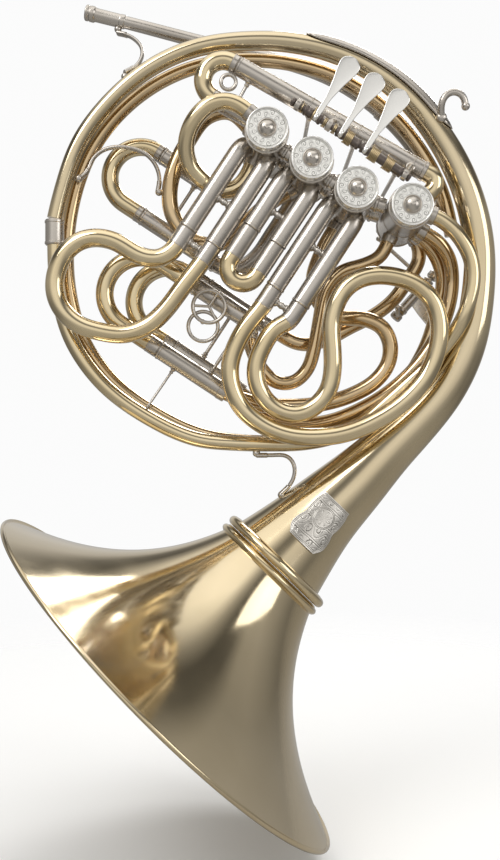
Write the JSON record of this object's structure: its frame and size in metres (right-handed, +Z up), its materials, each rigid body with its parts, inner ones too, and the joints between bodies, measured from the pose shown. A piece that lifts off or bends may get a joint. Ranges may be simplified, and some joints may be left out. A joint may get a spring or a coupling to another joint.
{
  "type": "french horn",
  "caption": "Double french horn with rotary valves, spatula levers, pull-out tuning and valve slides and a bell that comes off at a ring.",
  "frame": {"origin": "centre of the box around the whole horn", "axes": "+Z up along the horn's height with the bell at the bottom, +X toward the bell tail's outer side, -Y toward the valve caps"},
  "size_m": [0.3448, 0.31, 0.5955],
  "materials": {
    "lacquered_brass": "polished, clear lacquer",
    "nickel_silver": "polished nickel silver",
    "satin_nickel": "satin",
    "rotor_brass": "machined",
    "dark_steel": "brushed"
  },
  "bodies": {
    "horn_body": {"back_branch": "lacquered_brass", "back_crook": "lacquered_brass", "bearing_plate_1": "nickel_silver", "bearing_plate_2": "nickel_silver", "bearing_plate_3": "nickel_silver", "bearing_plate_4": "nickel_silver", "bell_tail": "lacquered_brass", "bottom_brace": "nickel_silver", "front_crook": "lacquered_brass", "hand_guard": "nickel_silver", "hinge_rod": "dark_steel", "inner_branch": "lacquered_brass", "inner_crook": "lacquered_brass", "leadpipe": "nickel_silver", "left_brace": "nickel_silver", "lever_bridge": "nickel_silver", "lower_back_slide_sleeves": "nickel_silver", "lower_crook": "lacquered_brass", "lower_front_slide_sleeves": "nickel_silver", "mouthpiece_receiver": "nickel_silver", "nameplate": "nickel_silver", "outer_branch": "lacquered_brass", "receiver_brace": "nickel_silver", "return_crook": "lacquered_brass", "side_slide_sleeves": "nickel_silver", "slide_1_sleeves": "nickel_silver", "slide_2_sleeves": "nickel_silver", "slide_3_sleeves": "nickel_silver", "tail_ring": "lacquered_brass", "thumb_bracket": "nickel_silver", "tuning_slide_sleeves": "nickel_silver", "valve_cap_1": "satin_nickel", "valve_cap_2": "satin_nickel", "valve_cap_3": "satin_nickel", "valve_cap_4": "satin_nickel", "valve_casing_1": "nickel_silver", "valve_casing_2": "nickel_silver", "valve_casing_3": "nickel_silver", "valve_casing_4": "nickel_silver"},
    "bell": {"bell_flare": "lacquered_brass", "bell_ring": "lacquered_brass"},
    "slide_1": {"slide_1": "lacquered_brass"},
    "slide_2": {"slide_2": "lacquered_brass"},
    "slide_3": {"slide_3": "lacquered_brass"},
    "side_slide": {"side_slide": "lacquered_brass"},
    "lower_front_slide": {"lower_front_slide": "lacquered_brass"},
    "lower_back_slide": {"lower_back_slide": "lacquered_brass"},
    "tuning_slide": {"tuning_slide": "lacquered_brass"},
    "rotor_1": {"rotor_1": "rotor_brass", "stop_arm_1": "nickel_silver"},
    "rotor_2": {"rotor_2": "rotor_brass", "stop_arm_2": "nickel_silver"},
    "rotor_3": {"rotor_3": "rotor_brass", "stop_arm_3": "nickel_silver"},
    "rotor_4": {"rotor_4": "rotor_brass", "stop_arm_4": "nickel_silver"},
    "lever_1": {"lever_1": "satin_nickel"},
    "lever_2": {"lever_2": "satin_nickel"},
    "lever_3": {"lever_3": "satin_nickel"},
    "thumb_lever": {"thumb_lever": "satin_nickel"}
  },
  "joints": [
    {"name": "bell_pull_off", "type": "slide", "parent": "horn_body", "child": "bell", "axis": [-0.6958, -0.0872, -0.713], "range_m": [0, 0.02]},
    {"name": "slide_1_pull", "type": "slide", "parent": "horn_body", "child": "slide_1", "axis": [-0.549, 0, -0.8358], "range_m": [0, 0.02]},
    {"name": "slide_2_pull", "type": "slide", "parent": "horn_body", "child": "slide_2", "axis": [-0.549, 0, -0.8358], "range_m": [0, 0.02]},
    {"name": "slide_3_pull", "type": "slide", "parent": "horn_body", "child": "slide_3", "axis": [-0.549, 0, -0.8358], "range_m": [0, 0.02]},
    {"name": "side_slide_pull", "type": "slide", "parent": "horn_body", "child": "side_slide", "axis": [-0.8358, 0, 0.549], "range_m": [0, 0.02]},
    {"name": "lower_front_slide_pull", "type": "slide", "parent": "horn_body", "child": "lower_front_slide", "axis": [-0.8358, 0, 0.549], "range_m": [0, 0.016]},
    {"name": "lower_back_slide_pull", "type": "slide", "parent": "horn_body", "child": "lower_back_slide", "axis": [-0.8358, 0, 0.549], "range_m": [0, 0.02]},
    {"name": "tuning_slide_pull", "type": "slide", "parent": "horn_body", "child": "tuning_slide", "axis": [-0.8695, 0, 0.4939], "range_m": [0, 0.02]},
    {"name": "rotor_1_turn", "type": "hinge", "parent": "horn_body", "child": "rotor_1", "pos_m": [0.00955, 0.00943, 0.18682], "axis": [0, 1, 0], "range_deg": [0, 90], "stiffness_Nm_per_rad": 0.02, "springref_deg": -22.92},
    {"name": "rotor_2_turn", "type": "hinge", "parent": "horn_body", "child": "rotor_2", "pos_m": [0.03989, 0.00943, 0.16689], "axis": [0, 1, 0], "range_deg": [0, 90], "stiffness_Nm_per_rad": 0.02, "springref_deg": -22.92},
    {"name": "rotor_3_turn", "type": "hinge", "parent": "horn_body", "child": "rotor_3", "pos_m": [0.07023, 0.00943, 0.14696], "axis": [0, 1, 0], "range_deg": [0, 90], "stiffness_Nm_per_rad": 0.02, "springref_deg": -22.92},
    {"name": "rotor_4_turn", "type": "hinge", "parent": "horn_body", "child": "rotor_4", "pos_m": [0.10711, 0.00943, 0.13553], "axis": [0, 1, 0], "range_deg": [0, 90], "stiffness_Nm_per_rad": 0.02, "springref_deg": -22.92},
    {"name": "lever_1_press", "type": "hinge", "parent": "horn_body", "child": "lever_1", "pos_m": [0.04284, -0.02857, 0.19415], "axis": [-0.8358, 0, 0.549], "range_deg": [0, 9], "stiffness_Nm_per_rad": 0.5, "springref_deg": -8.59},
    {"name": "lever_2_press", "type": "hinge", "parent": "horn_body", "child": "lever_2", "pos_m": [0.05964, -0.02857, 0.18311], "axis": [-0.8358, 0, 0.549], "range_deg": [0, 9], "stiffness_Nm_per_rad": 0.5, "springref_deg": -8.59},
    {"name": "lever_3_press", "type": "hinge", "parent": "horn_body", "child": "lever_3", "pos_m": [0.07602, -0.02857, 0.17235], "axis": [-0.8358, 0, 0.549], "range_deg": [0, 9], "stiffness_Nm_per_rad": 0.5, "springref_deg": -8.59},
    {"name": "thumb_lever_press", "type": "hinge", "parent": "horn_body", "child": "thumb_lever", "pos_m": [0.12265, 0.05243, 0.08522], "axis": [0.6739, 0, 0.7389], "range_deg": [0, 18], "stiffness_Nm_per_rad": 0.4, "springref_deg": -8.59}
  ],
  "couplings": [
    {"joint": "lever_1_press", "follows": "rotor_1_turn", "ratio": 0.1},
    {"joint": "lever_2_press", "follows": "rotor_2_turn", "ratio": 0.1},
    {"joint": "lever_3_press", "follows": "rotor_3_turn", "ratio": 0.1},
    {"joint": "thumb_lever_press", "follows": "rotor_4_turn", "ratio": 0.2}
  ]
}
